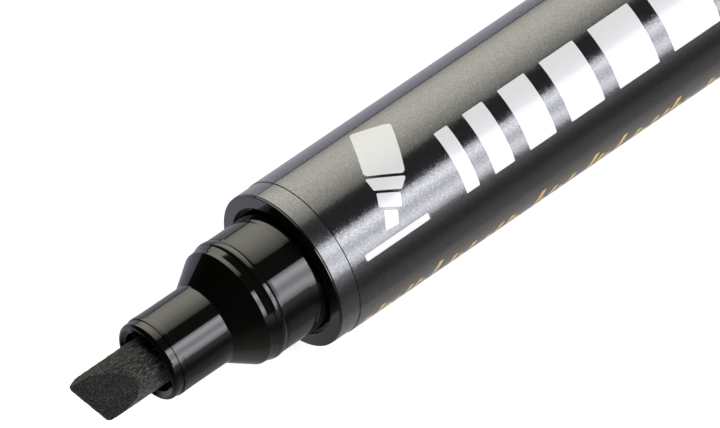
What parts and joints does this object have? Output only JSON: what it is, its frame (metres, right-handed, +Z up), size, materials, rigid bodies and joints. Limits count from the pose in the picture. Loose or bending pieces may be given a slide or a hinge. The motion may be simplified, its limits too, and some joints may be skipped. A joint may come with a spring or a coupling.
{
  "type": "whiteboard marker",
  "caption": "Round-barrel whiteboard marker with a chisel nib, a stepped nose with a snap bead, and its clip cap pushed onto the rear spigot.",
  "frame": {"origin": "on the marker's axis, midway along the barrel's film", "axes": "+X along the marker from the nib to the cap, +Z up with the marker lying on its side on the film and two of the cap's grips, and its clip up and towards -Y"},
  "size_m": [0.1581, 0.0181, 0.0181],
  "materials": {
    "nib_fibre": "matte bonded fibre",
    "nose_black": "gloss",
    "barrel_lacquer": "metallic lacquer",
    "label_film": "gloss printed film",
    "reservoir_fibre": "inked fibre",
    "wrap_film": "satin",
    "rear_black": "gloss",
    "cap_black": "gloss",
    "liner_soft": "satin",
    "cap_end": "gloss"
  },
  "bodies": {
    "marker": {"nib": "nib_fibre", "nib_sleeve": "nose_black", "nib_holder": "nose_black", "front_bush": "nose_black", "barrel_tube": "barrel_lacquer", "label_film": "label_film", "ink_reservoir": "reservoir_fibre", "reservoir_wrap": "wrap_film", "rear_plug": "rear_black"},
    "cap": {"cap_shell": "cap_black", "cap_liner": "liner_soft", "cap_end_plug": "cap_end", "cap_clip": "cap_black"}
  },
  "joints": [
    {"name": "cap_pull", "type": "slide", "parent": "marker", "child": "cap", "axis": [1, 0, 0], "range_m": [0, 0.03]}
  ]
}
